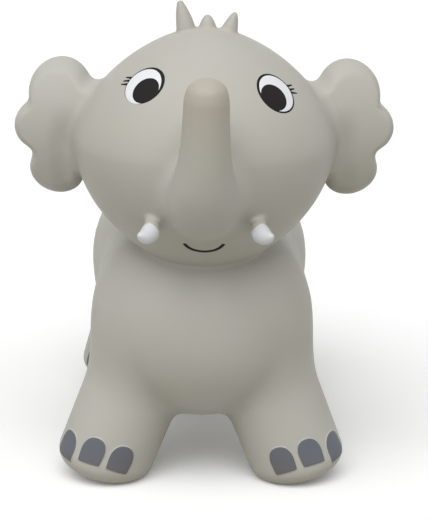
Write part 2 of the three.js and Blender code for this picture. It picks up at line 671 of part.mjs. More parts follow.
// Hole in the belly for the barrel, with flat seats for the flanges outside and inside
function valveHole() {
  const drill = (radius, bottom) => {
    const cutter = new THREE.CylinderGeometry(radius, radius, WAIST_RADIUS, VALVE_SIDES).rotateX(Math.PI / 2);
    return solidOf(cutter.translate(0, 0, bottom + WAIST_RADIUS / 2).translate(...valvePlace));
  };
  const hole = drill(VALVE_BARREL_RADIUS + SEAM_GAP, -WAIST_RADIUS / 2);
  const outerSeat = drill(VALVE_OUTER_FLANGE + SEAM_GAP, -WAIST_RADIUS);
  const innerSeat = drill(VALVE_INNER_FLANGE + SEAM_GAP, flangeSeat - SEAM_GAP);
  return hole.add(outerSeat).add(innerSeat);
}

// Assembly

const hopper = new THREE.Group();

function addPiece(name, geometry, material) {
  const mesh = new THREE.Mesh(geometry, material);
  mesh.name = name;
  hopper.add(mesh);
  return mesh;
}

// A piece made on the left side, kept there or mirrored to the right
function addSide(side, name, solid, material) {
  addPiece(`${side}_${name}`, geometryOf(solid), material).scale.x = side === "left" ? 1 : -1;
}

function addPair(name, solid, material) {
  addSide("left", name, solid, material);
  addSide("right", name, solid, material);
}

// A left side's cutter together with its mirror image
function mirrored(solid) {
  const image = geometryOf(solid).scale(-1, 1, 1);
  const triangles = image.index.array;
  for (let i = 0; i < triangles.length; i += 3) {
    [triangles[i], triangles[i + 1]] = [triangles[i + 1], triangles[i]];
  }
  return solid.add(solidOf(image));
}

const torso = torsoSolid(0)
  .subtract(torsoSolid(-WALL))
  .subtract(headSolid(-WALL))
  .subtract(mirrored(legCone(LEGS.front, -WALL)))
  .subtract(mirrored(legCone(LEGS.rear, -WALL)))
  .subtract(valveHole());
addPiece("torso", geometryOf(torso), grey);

const head = headSolid(0)
  .subtract(headSolid(-WALL))
  .subtract(torsoSolid(SEAM_GAP))
  .subtract(trunkSolid(-WALL))
  .subtract(mirrored(earWindow()));
addPiece("head", geometryOf(head), grey);

const trunk = trunkSolid(0).subtract(trunkSolid(-WALL)).subtract(headSolid(SEAM_GAP));
addPiece("trunk", geometryOf(trunk), grey);
addPair("ear", earSolid(), grey);
addPiece("hair_tuft", geometryOf(hairSolid()), grey);
addPiece("tail", geometryOf(tailSolid()), grey);
addPair("tusk", tuskSolid(), ivory);

const nailStep = THREE.MathUtils.radToDeg((NAIL_WIDTH + NAIL_GAP) / FOOT_RADIUS);
for (const [end, leg] of Object.entries(LEGS)) {
  addPair(`${end}_leg`, legSolid(leg), grey);
  ["inner", "middle", "outer"].forEach((toe, i) => {
    addPair(`${end}_${toe}_nail`, nailSolid(leg, NAIL_TURN + (i - 1) * nailStep), slate);
  });
}

const EYES = {
  left: eyeSolids(LEFT_EYE_SIDE, LEFT_EYE_ABOVE),
  right: eyeSolids(RIGHT_EYE_SIDE, RIGHT_EYE_ABOVE),
};
for (const [side, eye] of Object.entries(EYES)) {
  addSide(side, "eye_rim", eye.rim, black);
  addSide(side, "eye_white", eye.iris, white);
  addSide(side, "pupil", eye.pupil, black);
  eye.lashes.forEach((lash, i) => addSide(side, `lash_${i + 1}`, lash, black));
}
addPiece("mouth", geometryOf(mouthSolid()), black);

addPiece("valve_bush", valveBush(), valveWhite).position.copy(valvePlace);
addPiece("valve_plug", valvePlug(), valveWhite).position.copy(valvePlace);

// The origin is under the middle of the toy
hopper.position.y = -new THREE.Box3().setFromObject(hopper).getCenter(new THREE.Vector3()).y;

export default hopper;
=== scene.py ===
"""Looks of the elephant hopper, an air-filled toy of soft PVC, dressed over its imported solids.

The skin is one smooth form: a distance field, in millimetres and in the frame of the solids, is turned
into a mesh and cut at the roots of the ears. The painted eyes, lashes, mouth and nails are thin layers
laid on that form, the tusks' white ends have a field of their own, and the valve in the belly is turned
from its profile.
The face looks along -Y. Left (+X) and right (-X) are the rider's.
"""

import math

import bmesh
import bpy
import numpy as np
from mathutils import Matrix, Vector


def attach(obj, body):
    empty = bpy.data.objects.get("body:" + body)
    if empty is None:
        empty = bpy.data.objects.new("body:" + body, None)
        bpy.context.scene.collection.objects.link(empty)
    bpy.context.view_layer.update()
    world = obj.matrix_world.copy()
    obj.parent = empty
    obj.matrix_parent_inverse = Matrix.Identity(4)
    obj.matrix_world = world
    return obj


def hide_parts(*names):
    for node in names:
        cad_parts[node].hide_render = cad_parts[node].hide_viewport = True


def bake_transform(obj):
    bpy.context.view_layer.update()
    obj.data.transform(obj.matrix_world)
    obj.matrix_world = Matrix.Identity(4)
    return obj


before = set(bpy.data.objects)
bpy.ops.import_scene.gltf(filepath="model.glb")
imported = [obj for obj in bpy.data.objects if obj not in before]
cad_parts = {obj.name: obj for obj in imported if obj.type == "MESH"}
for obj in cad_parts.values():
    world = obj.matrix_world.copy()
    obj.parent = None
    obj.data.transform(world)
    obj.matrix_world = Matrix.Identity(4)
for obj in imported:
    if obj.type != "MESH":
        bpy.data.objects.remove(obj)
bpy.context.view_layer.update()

MM = 0.001  # the form is in millimetres, Blender in metres
SIDES = {"left": 1, "right": -1}

# Torso: chest, waist and rump, each x, y, z and radius
TORSO = [(0, -58.9, 170, 108.5), (0, 53.1, 170, 104), (0, 150.1, 170, 115)]
TORSO_WIDTH_RATIO = 1.05
TORSO_STEPS = 13

# Head
HEAD_CENTRE = np.array([0, -98.9, 363.5])
HEAD_HALF_WIDTH = 130.5
HEAD_HALF_DEPTH = 118
CROWN_HEIGHT = 113.5
CROWN_POWER = 1.65
JAW_DEPTH = 130
JAW_POWER = 1.8
NECK_BLEND = 6

# Trunk, from its root in the face to its tip
TRUNK = [
    (-2, -178, 330, 37),
    (-2, -205, 330, 36.3),
    (-3, -234, 347, 30.3),
    (-2.2, -251.5, 386.6, 23.2),
    (-1.4, -260, 447.2, 20),
]
TRUNK_END = np.array([-1.2, -262.3, 463.8])  # middle of the trunk's blunt end
TRUNK_END_ROUND = 24
TRUNK_STEPS = 24
TRUNK_BLEND = 17
LIMB_SMOOTHING = 3  # between the cones of a limb

# Legs: hip point, outward splay and forward lean in degrees, and how much wider than deep the foot is
FRONT_LEG = {"hip": (48, -68.9, 150), "splay": 22, "lean": 9, "spread": 0.075}
REAR_LEG = {"hip": (50, 160.1, 150), "splay": 17, "lean": -10, "spread": 0}
FOOT_RADIUS = 47
THIGH_RADIUS = 52
SOLE_ROUND = 22
SOLE_FLAT = 4
SOLE_TILT = 15.5
SOLE_EDGE = 4  # softness of the rim where the sole meets the floor
LEG_BLEND = (13, 30)  # between the legs and on their outer sides
LEG_BLEND_OUT = (40, 100)  # how far out the one ends and the other begins

# Ears: a lobed pad that leans back, made on the left
EAR_CENTRE = np.array([122, -81.9, 374])
EAR_SWEEP = 12
EAR_HALF_THICKNESS = 24
EAR_HALF_HEIGHT = 95  # height at which the pad's swelling would end
EAR_LEAST_SWELL = 0.1  # floor of the swelling's square, for points far above and below
EAR_EDGE_ROUND = 13
EAR_BOW = 0.003  # how fast the pad curves back above and below its middle
EAR_MIDDLE = (8, -3, 14, 18.5, 29)  # out, up, half width, half height and round of the pad's middle
EAR_LOBES = [(24, 34.5, 31), (43.7, -1.5, 25.5), (28.5, -48.5, 27.5)]  # out, up, radius
EAR_NOTCH_BLEND = 8  # between the lobes at the pad's outline
EAR_FACE_BLEND = 30  # between them on its face
EAR_PINCH = 0.27  # how much thinner the pad is beside the head
EAR_PINCH_OUT = (14, 34)  # where that holds in full and where it has ended, going out
EAR_PINCH_UP = (-20, 25)  # and going up
EAR_BLEND = 10
EAR_CUT = 132  # where the skin is parted, just outside the head's side
EAR_BEND_END = 162
HEAD_LEVEL = 250  # the ears lie above it, and all else that is as wide lies below

# Tusks on the left, hair from right to left, tail from its root down
TUSK = [
    (51, -178, 310, 7),
    (51.3, -190, 305.5, 6),
    (52.5, -202, 297.5, 8.7),
    (57.5, -210.5, 295.5, 6.4),
    (62.5, -216.5, 298, 2.4),
]
TUSK_STEPS = 10
TIP_SMOOTHING = 1.5  # between the cones of tusks and hair
TUSK_BLEND = 5
TUSK_PAINT_TOP = np.array([54, -203, 307])  # where the paint begins, in a rounded point
TUSK_PAINT_DOWN = np.array([0, -0.28, -0.96])  # the way it widens from there
TUSK_PAINT_ROUND = 3
TUSK_PAINT_BACK = -195
TUSK_PAINT_PROUD = 0.35
HAIR = [
    [(-18, -98.9, 462, 11), (-20.2, -97.9, 478, 8.6), (-22.6, -97, 488, 6.6), (-25.3, -96, 499.2, 3.4)],
    [(1.5, -98.9, 464, 11), (1.6, -97.5, 476, 8), (1.6, -97, 481.5, 5.6), (1.5, -96.5, 485.6, 3.2)],
    [(20, -98.9, 464, 11), (24.4, -97.5, 478, 6.6), (26.6, -97, 484.5, 4.3), (28, -96.5, 489, 2.6)],
]
HAIR_STEPS = 8
HAIR_BLEND = 3
TAIL = [(0, 255.2, 225.9, 8), (0, 267.3, 190.7, 8), (0, 268.2, 155.5, 8), (0, 258.8, 121.6, 12)]
TAIL_STEPS = 8
TAIL_BLEND = 8

# Valve, about an upright axis in the belly
VALVE_AXIS = (0, 53.117)
VALVE_SKIN = 66  # height of the belly there
VALVE_SEAT_RADIUS = 19.5
VALVE_SEAT_DROP = 0.25  # how far the seat stands out of the belly
VALVE_SEAT_BLEND = 3
VALVE_POCKET_RADIUS = 13.4
VALVE_POCKET_TOP = 88

# Bush and plug as radius and height, anticlockwise
BUSH_PROFILE = [
    (4.5, 85.6),
    (4.5, 65.8),
    (10.3, 65.8),
    (10.3, 62.3),
    (17, 62.3),
    (17, 65.7),
    (13, 65.7),
    (13, 70.3),
    (19, 70.3),
    (19, 73.6),
    (8, 73.6),
    (8, 85.6),
]
BUSH_ROUND = 0.5
PLUG_PROFILE = [
    (0.5, 85.6),
    (0.5, 63.4),
    (6.4, 63.4),
    (7.4, 62.3),
    (10, 62.3),
    (10, 65.5),
    (4.2, 65.5),
    (4.2, 84.4),
    (3, 85.6),
]
PLUG_ROUND = 0.4

# Boxes, each by its low and high corner: a form is worked out only in its own
SKIN_BOX = ((-230, -310, -30), (230, 310, 530))
LEG_BOX = np.array([(-110, -90, -40), (90, 90, 230)])  # about the sole
TAIL_BOX = ((-50, 210, 60), (50, 320, 280))
EAR_BOX = ((70, -160, 240), (260, -10, 500))
TRUNK_BOX = ((-110, -340, 220), (110, -110, 520))
TUSK_BOX = ((20, -270, 250), (120, -140, 350))
TUSK_PAINT_BOX = ((35, -245, 275), (90, -185, 325))
HAIR_BOX = ((-80, -150, 430), (80, -50, 540))
FAR = 1000  # distance given outside a form's box

# Meshing: the skin's faces are finer at hair, tusks and valve
FINE_BOXES = [
    ((-60, -140, 455), (60, -60, 520)),
    ((30, -240, 275), (90, -170, 325)),
    ((-90, -240, 275), (-30, -170, 325)),
    ((-26, 27, 55), (26, 79, 92)),
]
SKIN_PITCH = 3.4
TUSK_PAINT_PITCH = 1.1
BLOCK = 4  # cells along a block that is skipped whole where the form is far away
BLOCK_REACH = 1.3  # how far away that is, in blocks

# Painted eyes: place beside and above the head centre, then ellipses as x, y, radii and turn in degrees
EYES = {
    "right": {
        "place": (-61, 69),
        "rim": (1.5, -0.1, 21.6, 20.9, 60),
        "white": (0.6, -1.3, 20.2, 19.4, 95),
        "pupil": (6.5, -5.6, 14.5, 13.6, 71),
        "lashes": [((-19.4, -2.1), (-27.7, -2.3)), ((-19.4, 2.4), (-27.3, 1.5)), ((-18, 5.8), (-26.4, 6.2))],
    },
    "left": {
        "place": (68, 63),
        "rim": (-1.5, -0.3, 22.4, 20.1, 100),
        "white": (-1.1, -0.6, 20.5, 18.4, 95),
        "pupil": (-7, -4.6, 14.7, 13.9, 104),
        "lashes": [((18, -2.6), (26.1, -3.9)), ((17.8, 0.6), (25.8, 1.4)), ((17.6, 5), (25.3, 5.8))],
    },
}
LASH_WIDTH = 2.9
LASH_TAPER = 0.55  # share of its width that a lash loses towards its end
MOUTH_PLACE = (0, -93)
MOUTH_LINE = [(-20.4, 11.5), (-16, 5.1), (-9.6, 0.8), (-0.8, -1.1), (8, 0.6), (14.2, 4.9), (18.4, 11.4)]
MOUTH_WIDTH = 4.2
MOUTH_TAPER = 0.5  # how much narrower the line is at its ends

# Nails on a foot: degrees outwards, height of the lower edge above the sole, and degrees that it rises by
NAILS = {"inner": (-14.3, 20.6, 7), "middle": (22.8, 21, -4), "outer": (61, 13.8, 0)}
REAR_NAIL_TURN = -13  # the rear nails sit further forward
NAIL_WIDTH = 25.5
NAIL_HEIGHT = 29
NAIL_MIDDLE = 0.4  # level of a nail's full width, as a share of its height
NAIL_NARROWING = 0.07  # share of its width that it loses towards the lower edge
NAIL_ARCH_POWER = 2.3  # 2 is an ellipse, and more is squarer
NAIL_CORNER_POWER = 16
NAIL_SEARCH = 40  # more than a nail reaches from its middle
NAIL_BED_SIZE = 1.06  # of the raised bed, as a share of the paint's

# Heights of the marks above the skin, and heights from which they are dropped onto it
EYE_RIM_LIFT = 0.15
LINE_LIFT = 0.25
EYE_WHITE_LIFT = 0.3
PUPIL_LIFT = 0.45
NAIL_BED_LIFT = 0.7
NAIL_LIFT = 0.95
FACE_CLEARANCE = 12
FOOT_CLEARANCE = 8


# Distance fields


def soft_min(a, b, k):
    h = np.maximum(k - np.abs(a - b), 0) / k
    return np.minimum(a, b) - h * h * k / 4


def soft_max(a, b, k):
    return -soft_min(-a, -b, k)


def fade(value, full, none):
    """1 at the level full and 0 at the level none, smooth between them."""
    share = np.clip((none - value) / (none - full), 0, 1)
    return share * share * (3 - 2 * share)


def round_cone(p, start, end):
    """Distance to a cone between two balls, each x, y, z and radius."""
    a, ra = np.array(start[:3], float), start[3]
    line = np.array(end[:3], float) - a
    rb = end[3]
    length2 = line @ line
    step = ra - rb
    slope2 = length2 - step * step
    q = p - a
    y = q @ line
    z = y - length2
    x2 = ((q * length2 - y[:, None] * line) ** 2).sum(1)
    y2 = y * y * length2
    z2 = z * z * length2
    k = np.sign(step) * step * step * x2
    d = (np.sqrt(x2 * slope2 / length2) + y * step) / length2 - ra
    d = np.where(np.sign(y) * slope2 * y2 < k, np.sqrt(x2 + y2) / length2 - ra, d)
    return np.where(np.sign(z) * slope2 * z2 > k, np.sqrt(x2 + z2) / length2 - rb, d)


def limb(p, stops, k):
    """Distance to a chain of balls with cones between them, smoothed by k."""
    d = round_cone(p, stops[0], stops[1])
    for start, end in zip(stops[1:], stops[2:]):
        d = soft_min(d, round_cone(p, start, end), k)
    return d


def smooth_stops(stops, count):
    """More stops, on a smooth curve through the given ones."""
    q = np.array(stops, float)
    q = np.vstack([2 * q[0] - q[1], q, 2 * q[-1] - q[-2]])
    last = len(stops) - 1
    found = []
    for t in np.linspace(0, last, count):
        i = min(int(t), last - 1)
        f = t - i
        a, b, c, d = q[i : i + 4]
        bend = (2 * a - 5 * b + 4 * c - d) * f * f + (3 * b - a - 3 * c + d) * f**3
        found.append((2 * b + (c - a) * f + bend) / 2)
    return found


TORSO_STOPS = smooth_stops(TORSO, TORSO_STEPS)
TRUNK_STOPS = smooth_stops(TRUNK, TRUNK_STEPS)
TAIL_STOPS = smooth_stops(TAIL, TAIL_STEPS)
HAIR_STOPS = [smooth_stops(spike, HAIR_STEPS) for spike in HAIR]
TUSK_STOPS = smooth_stops(TUSK, TUSK_STEPS)


def near(p, box, form):
    """A form that only matters inside a box: far away everywhere else."""
    low, high = box
    d = np.full(len(p), float(FAR))
    close = np.all((p > low) & (p < high), axis=1)
    if close.any():
        d[close] = form(p[close])
    return d


def mirrored(p):
    return np.column_stack([np.abs(p[:, 0]), p[:, 1], p[:, 2]])


def head_form(p):
    q = p - HEAD_CENTRE
    girth = np.hypot(q[:, 0] / HEAD_HALF_WIDTH, q[:, 1] / HEAD_HALF_DEPTH) + 1e-9
    crown = q[:, 2] > 0
    height = np.where(crown, CROWN_HEIGHT, JAW_DEPTH)
    power = np.where(crown, CROWN_POWER, JAW_POWER)
    level = np.abs(q[:, 2]) / height + 1e-9
    total = girth**power + level**power
    common = total ** (1 / power - 1)
    across = common * girth ** (power - 2)
    slope_x = across * q[:, 0] / HEAD_HALF_WIDTH**2
    slope_y = across * q[:, 1] / HEAD_HALF_DEPTH**2
    slope_z = common * level ** (power - 1) / height
    slope = np.sqrt(slope_x**2 + slope_y**2 + slope_z**2)
    return (total ** (1 / power) - 1) / np.maximum(slope, 1e-6)


def torso_form(p):
    d = limb(p / [TORSO_WIDTH_RATIO, 1, 1], TORSO_STOPS, LIMB_SMOOTHING)
    radius = np.hypot(p[:, 0] - VALVE_AXIS[0], p[:, 1] - VALVE_AXIS[1])
    seat = np.maximum(radius - VALVE_SEAT_RADIUS, VALVE_SKIN - VALVE_SEAT_DROP - p[:, 2])
    d = soft_min(d, np.maximum(seat, p[:, 2] - VALVE_POCKET_TOP), VALVE_SEAT_BLEND)
    pocket = np.maximum(radius - VALVE_POCKET_RADIUS, p[:, 2] - VALVE_POCKET_TOP)
    return np.maximum(d, -pocket)


class Leg:
    """A left leg: a tapering limb that slants from its hip to a tilted round-edged sole."""

    def __init__(self, hip, splay, lean, spread):
        line = np.array([-math.tan(math.radians(splay)), math.tan(math.radians(lean)), 1])
        tilt = math.radians(SOLE_TILT)
        low_side = (FOOT_RADIUS - SOLE_ROUND) * math.sin(tilt) + SOLE_ROUND * (1 - math.cos(tilt))
        rise = hip[2] - low_side + SOLE_FLAT
        turn = np.array(Matrix.Rotation(-tilt, 3, "Y"))
        slant = turn.T @ line
        shear = np.eye(3)
        shear[:2, 2] = slant[:2] / slant[2]
        self.sole = np.array(hip) - line * rise
        self.height = rise * slant[2]
        self.spread = spread
        self.outwards = turn @ shear
        self.inwards = np.linalg.inv(self.outwards)

    def form(self, p):
        q = (p - self.sole) @ self.inwards.T
        taper = (THIGH_RADIUS - FOOT_RADIUS) / (self.height - SOLE_ROUND)
        widening = 1 + self.spread * np.clip(1 - q[:, 2] / self.height, 0, 1)
        out = np.hypot(q[:, 0] / widening, q[:, 1]) - FOOT_RADIUS
        out += SOLE_ROUND - taper * (q[:, 2] - SOLE_ROUND)
        low = SOLE_ROUND - q[:, 2]
        corner = np.hypot(np.maximum(out, 0), np.maximum(low, 0))
        d = corner + np.minimum(np.maximum(out, low), 0) - SOLE_ROUND
        return soft_max(np.maximum(d, q[:, 2] - self.height), -p[:, 2], SOLE_EDGE)

    def point(self, angle, height, radius):
        """A point beside the foot, at an angle outwards from straight ahead."""
        q = np.column_stack([radius * np.sin(angle), -radius * np.cos(angle), height])
        return q @ self.outwards.T + self.sole


LEGS = {"front": Leg(**FRONT_LEG), "rear": Leg(**REAR_LEG)}


def ear_outline(out, up, blend):
    """Distance to the pad's flat outline, with its notches smoothed."""
    middle_out, middle_up, half_width, half_height, radius = EAR_MIDDLE
    beside = np.maximum(np.abs(out - middle_out) - half_width, 0)
    above = np.maximum(np.abs(up - middle_up) - half_height, 0)
    d = np.hypot(beside, above) - radius
    for lobe_out, lobe_up, radius in EAR_LOBES:
        d = soft_min(d, np.hypot(out - lobe_out, up - lobe_up) - radius, blend)
    return d


def ear_form(p):
    sweep = math.radians(EAR_SWEEP)
    q = p - EAR_CENTRE
    out = q[:, 0] * math.cos(sweep) + q[:, 1] * math.sin(sweep)
    up = q[:, 2]
    back = q[:, 1] * math.cos(sweep) - q[:, 0] * math.sin(sweep) - EAR_BOW * up**2
    rim = ear_outline(out, up, EAR_NOTCH_BLEND)
    face = ear_outline(out, up, EAR_FACE_BLEND)
    d = rim + (face - rim) * fade(rim, -EAR_EDGE_ROUND, 0)
    edge = np.maximum(d + EAR_EDGE_ROUND, 0) / EAR_EDGE_ROUND
    swell = np.sqrt(np.maximum(1 - (up / EAR_HALF_HEIGHT) ** 2, EAR_LEAST_SWELL))
    beside_head = fade(out, *EAR_PINCH_OUT) * fade(up, *EAR_PINCH_UP)
    half = EAR_HALF_THICKNESS * swell * (1 - EAR_PINCH * beside_head)
    return (np.hypot(edge, back / half) - 1) * EAR_EDGE_ROUND


def tusk_form(p):
    return limb(p, TUSK_STOPS, TIP_SMOOTHING)


def hair_form(p):
    d = limb(p, HAIR_STOPS[0], TIP_SMOOTHING)
    for spike in HAIR_STOPS[1:]:
        d = soft_min(d, limb(p, spike, TIP_SMOOTHING), HAIR_BLEND)
    return d


def trunk_form(p):
    way = TRUNK_STOPS[-1][:3] - TRUNK_STOPS[-2][:3]
    end = (p - TRUNK_END) @ (way / np.linalg.norm(way))
    return soft_max(limb(p, TRUNK_STOPS, LIMB_SMOOTHING), end, TRUNK_END_ROUND)


def tail_form(p):
    return limb(p, TAIL_STOPS, LIMB_SMOOTHING)


def leg_blend(p):
    """Softness of the crease between torso and leg: small between the legs, large on their outer sides."""
    between, outside = LEG_BLEND
    end, start = LEG_BLEND_OUT
    return between + (outside - between) * fade(p[:, 0], start, end)


def skin_form(p):
    left = mirrored(p)
    body = torso_form(p)
    for leg in LEGS.values():
        body = soft_min(body, near(left, leg.sole + LEG_BOX, leg.form), leg_blend(left))
    body = soft_min(body, near(p, TAIL_BOX, tail_form), TAIL_BLEND)
    head = head_form(p)
    head = soft_min(head, near(left, EAR_BOX, ear_form), EAR_BLEND)
    head = soft_min(head, near(p, TRUNK_BOX, trunk_form), TRUNK_BLEND)
    head = soft_min(head, near(left, TUSK_BOX, tusk_form), TUSK_BLEND)
    head = soft_min(head, near(p, HAIR_BOX, hair_form), HAIR_BLEND)
    return np.maximum(soft_min(body, head, NECK_BLEND), -p[:, 2])


# Meshes from a field


def slope(field, p, reach=0.4):
    """Gradient of a field, by differences."""
    parts = []
    for axis in np.eye(3) * reach:
        parts.append((field(p + axis) - field(p - axis)) / (2 * reach))
    return np.column_stack(parts)


def normals_of(field, p):
    g = slope(field, p)
    return g / np.maximum(np.linalg.norm(g, axis=1), 1e-9)[:, None]


def settle(field, p, rounds=3, least_slope=0.05):
    """Points moved onto the zero level; least_slope, as a square, keeps the moves short."""
    for _ in range(rounds):
        g = slope(field, p)
        p = p - g * (field(p) / np.maximum((g * g).sum(1), least_slope))[:, None]
    return p


def sample(field, low, blocks, pitch, batches=16):
    """Field values on a grid; blocks far from the surface only get their sign."""
    size = BLOCK * pitch
    index = np.stack(np.meshgrid(*[np.arange(n) for n in blocks], indexing="ij"), -1)
    coarse = field((low + (index + 0.5) * size).reshape(-1, 3)).reshape(blocks)
    cells = coarse.repeat(BLOCK, 0).repeat(BLOCK, 1).repeat(BLOCK, 2)
    close = np.abs(cells) < size * BLOCK_REACH
    values = np.pad(np.sign(cells), (0, 1), mode="edge")
    wanted = np.zeros(values.shape, bool)
    for corner in np.ndindex(2, 2, 2):
        wanted[tuple(slice(c, c + n) for c, n in zip(corner, close.shape))] |= close
    nodes = np.argwhere(wanted)
    parts = np.array_split(nodes, batches)
    values[wanted] = np.concatenate([field(low + part * pitch) for part in parts])
    return values


def surface(field, box, pitch):
    """Vertices and quads of a field's zero level inside a box: one vertex in each cell that it crosses."""
    low, high = np.array(box, float)
    blocks = np.ceil((high - low) / (BLOCK * pitch)).astype(int)
    values = sample(field, low, blocks, pitch)
    cells = np.array(values.shape) - 1
    quads, owners, points = [], [], []
    for axis in range(3):
        u, v = (axis + 1) % 3, (axis + 2) % 3
        inside = np.moveaxis(values < 0, axis, 0)
        edges = np.argwhere(np.moveaxis(inside[1:] != inside[:-1], 0, axis))
        start = values[tuple(edges.T)]
        after = edges.copy()
        after[:, axis] += 1
        end = values[tuple(after.T)]
        crossing = edges.astype(float)
        crossing[:, axis] += start / (start - end)
        ring = []
        for du, dv in ((-1, -1), (0, -1), (0, 0), (-1, 0)):
            cell = edges.copy()
            cell[:, u] += du
            cell[:, v] += dv
            ring.append(np.ravel_multi_index(tuple(cell.T), tuple(cells)))
            owners.append(ring[-1])
            points.append(crossing)
        ring = np.column_stack(ring)
        quads.append(np.where((start < 0)[:, None], ring, ring[:, ::-1]))
    used, owners = np.unique(np.concatenate(owners), return_inverse=True)
    points = np.concatenate(points)
    count = np.bincount(owners)
    vertices = np.column_stack([np.bincount(owners, points[:, i]) / count for i in range(3)])
    quads = np.searchsorted(used, np.concatenate(quads))
    vertices = even_out(low + vertices * pitch, quads, field)
    return vertices, quads


def even_out(vertices, quads, field, rounds=3):
    """Vertices slid along the surface towards the middle of their neighbours."""
    a = np.concatenate([quads[:, i] for i in range(4)] * 2)
    b = np.concatenate([quads[:, (i + 1) % 4] for i in range(4)] + [quads[:, i - 1] for i in range(4)])
    count = np.bincount(a)
    vertices = settle(field, vertices, 2)
    for _ in range(rounds):
        middle = np.column_stack([np.bincount(a, vertices[b, i]) / count for i in range(3)])
        vertices = settle(field, (vertices + middle) / 2, 1)
    return settle(field, vertices, 2)


def within(point, low, high):
    return all(a < c < b for a, b, c in zip(low, high, point))


def refine(vertices, quads, field, boxes):
    """Faces halved inside each box, and all of it settled onto the field again."""
    mesh = bmesh.new()
    made = [mesh.verts.new(v) for v in vertices]
    for quad in quads:
        mesh.faces.new([made[i] for i in quad])
    for low, high in boxes:
        mesh.faces.ensure_lookup_table()
        edges = {e for f in mesh.faces if within(f.calc_center_median(), low, high) for e in f.edges}
        bmesh.ops.subdivide_edges(mesh, edges=list(edges), cuts=1, use_grid_fill=True)
    points = np.array([v.co for v in mesh.verts])
    for v, p in zip(mesh.verts, settle(field, points)):
        v.co = p
    return mesh


def add_object(name, mesh, material, normals=None):
    """A piece from mesh data that is in millimetres."""
    mesh.transform(Matrix.Scale(MM, 4))
    mesh.polygons.foreach_set("use_smooth", [True] * len(mesh.polygons))
    if normals is not None:
        mesh.normals_split_custom_set_from_vertices([tuple(n) for n in normals])
    mesh.materials.append(material)
    piece = bpy.data.objects.new(name, mesh)
    bpy.context.scene.collection.objects.link(piece)
    return piece


def add_mesh(name, vertices, faces, material, normals=None):
    mesh = bpy.data.meshes.new(name)
    mesh.from_pydata([tuple(v) for v in vertices], [], [list(map(int, f)) for f in faces])
    return add_object(name, mesh, material, normals)


# Materials


def linear(rgb):
    """A colour given as the eye sees it, from 0 to 255, as the shader wants it."""
    shares = [c / 255 for c in rgb]
    return [s / 12.92 if s <= 0.04045 else ((s + 0.055) / 1.055) ** 2.4 for s in shares] + [1]


class Shader:
    """A material whose nodes are added one by one."""

    def __init__(self, name):
        self.material = bpy.data.materials.new(name)
        self.material.use_nodes = True
        self.tree = self.material.node_tree
        self.surface = self.tree.nodes["Principled BSDF"]
        self.place = self.add("ShaderNodeTexCoord").outputs["Object"]

    def add(self, kind, **settings):
        node = self.tree.nodes.new(kind)
        for key, value in settings.items():
            setattr(node, key, value)
        return node

    def link(self, start, end):
        self.tree.links.new(start, end)

    def noise(self, scale, detail=3):
        node = self.add("ShaderNodeTexNoise")
        node.inputs["Scale"].default_value = scale
        node.inputs["Detail"].default_value = detail
        self.link(self.place, node.inputs["Vector"])
        return node.outputs["Fac"]

    def spread(self, value, low, high, start=0.3, end=0.7):
        node = self.add("ShaderNodeMapRange")
        node.inputs["From Min"].default_value = start
        node.inputs["From Max"].default_value = end
        node.inputs["To Min"].default_value = low
        node.inputs["To Max"].default_value = high
        self.link(value, node.inputs["Value"])
        return node.outputs["Result"]

    def mix(self, share, first, second):
        node = self.add("ShaderNodeMix", data_type="RGBA")
        for value, socket in ((share, node.inputs[0]), (first, node.inputs[6]), (second, node.inputs[7])):
            if isinstance(value, bpy.types.NodeSocket):
                self.link(value, socket)
            else:
                socket.default_value = value
        return node.outputs[2]

    def bump(self, height, strength, distance):
        node = self.add("ShaderNodeBump")
        node.inputs["Strength"].default_value = strength
        node.inputs["Distance"].default_value = distance
        self.link(height, node.inputs["Height"])
        self.link(node.outputs["Normal"], self.surface.inputs["Normal"])


def soft_plastic(name, colour, other, roughness, grain=0.15, shine=0.35):
    """Satin plastic: slow mottling, uneven gloss and a fine grain."""
    shader = Shader(name)
    mottle = shader.spread(shader.noise(scale=9, detail=4), 0, 1)
    shader.colour = shader.mix(mottle, linear(other), linear(colour))
    shader.link(shader.colour, shader.surface.inputs["Base Color"])
    gloss = shader.spread(shader.noise(scale=30), roughness - 0.05, roughness + 0.05)
    shader.link(gloss, shader.surface.inputs["Roughness"])
    shader.bump(shader.noise(scale=1400, detail=2), grain, distance=0.0004)
    shader.surface.inputs["Specular IOR Level"].default_value = shine
    return shader


def tinted(shader, share, colour):
    """Another colour where share is 1, laid over a plastic's own."""
    over = shader.mix(share, shader.colour, linear(colour))
    shader.link(over, shader.surface.inputs["Base Color"])
    return shader


def skin_shader():
    """The skin, yellower and a little darker towards the tip of the trunk."""
    shader = soft_plastic("soft_pvc_skin", (188, 187, 180), (184, 182, 172), roughness=0.52)
    away = shader.add("ShaderNodeVectorMath", operation="DISTANCE")
    away.inputs[1].default_value = [c * MM for c in TRUNK[-1][:3]]
    shader.link(shader.place, away.inputs[0])
    share = shader.spread(away.outputs["Value"], low=0.8, high=0, start=0.01, end=0.09)
    return tinted(shader, share, (183, 174, 160))


def nail_shader():
    """Slate paint that browns towards the floor."""
    shader = soft_plastic("nail_paint", (104, 109, 118), (98, 101, 108), roughness=0.5)
    parts = shader.add("ShaderNodeSeparateXYZ")
    shader.link(shader.place, parts.inputs["Vector"])
    share = shader.spread(parts.outputs["Z"], low=0.7, high=0, start=0.015, end=0.04)
    return tinted(shader, share, (108, 100, 98))


skin_material = skin_shader().material
slate = nail_shader()
black = soft_plastic("black_paint", (34, 31, 30), (24, 22, 22), roughness=0.5, grain=0.08, shine=0.12)
eye_white = soft_plastic("eye_white_paint", (236, 238, 242), (229, 231, 236), roughness=0.45, grain=0.08)
tusk_white = soft_plastic("tusk_paint", (227, 229, 233), (220, 222, 227), roughness=0.4, grain=0.1)
valve_plastic = soft_plastic("valve_plastic", (218, 218, 212), (210, 210, 203), roughness=0.35, grain=0.05)


# Skin and ears

